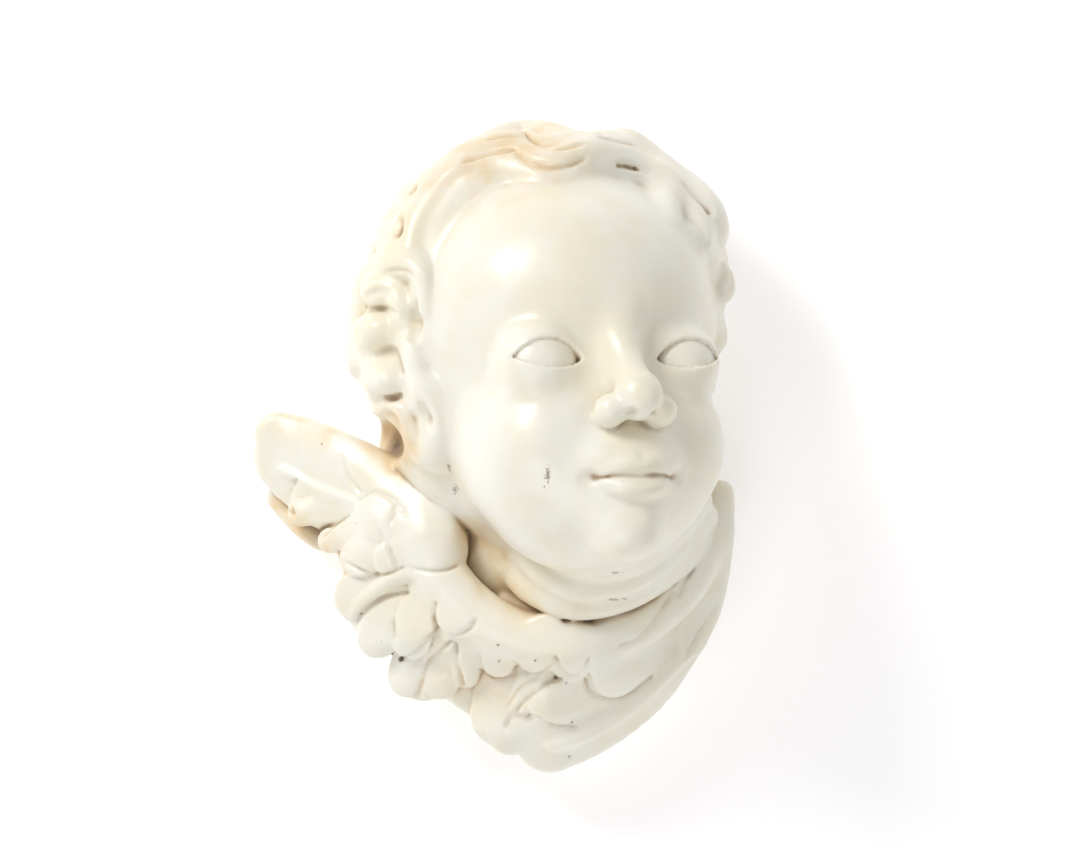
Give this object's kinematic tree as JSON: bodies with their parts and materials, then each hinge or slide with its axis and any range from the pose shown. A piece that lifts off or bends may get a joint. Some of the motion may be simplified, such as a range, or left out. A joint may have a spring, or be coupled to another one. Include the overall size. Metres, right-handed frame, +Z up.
{
  "type": "winged putto head wall relief",
  "caption": "Carved marble child's head in high relief with curled hair and wings folded round the neck, flat at the back to hang on a wall.",
  "frame": {"origin": "on the flat back, level with the upper lip, about 17 mm to the viewer's right of the middle of the width and 5 mm above the middle of the height", "axes": "+Z up, +X to the viewer's right, +Y into the wall; the relief stands out towards -Y"},
  "size_m": [0.1772, 0.1288, 0.2394],
  "materials": {
    "marble": "polished white marble, ivory-toned, with yellow patina on top and brown dirt in the hollows"
  },
  "bodies": {
    "root": {"putto_head": "marble"}
  },
  "joints": []
}
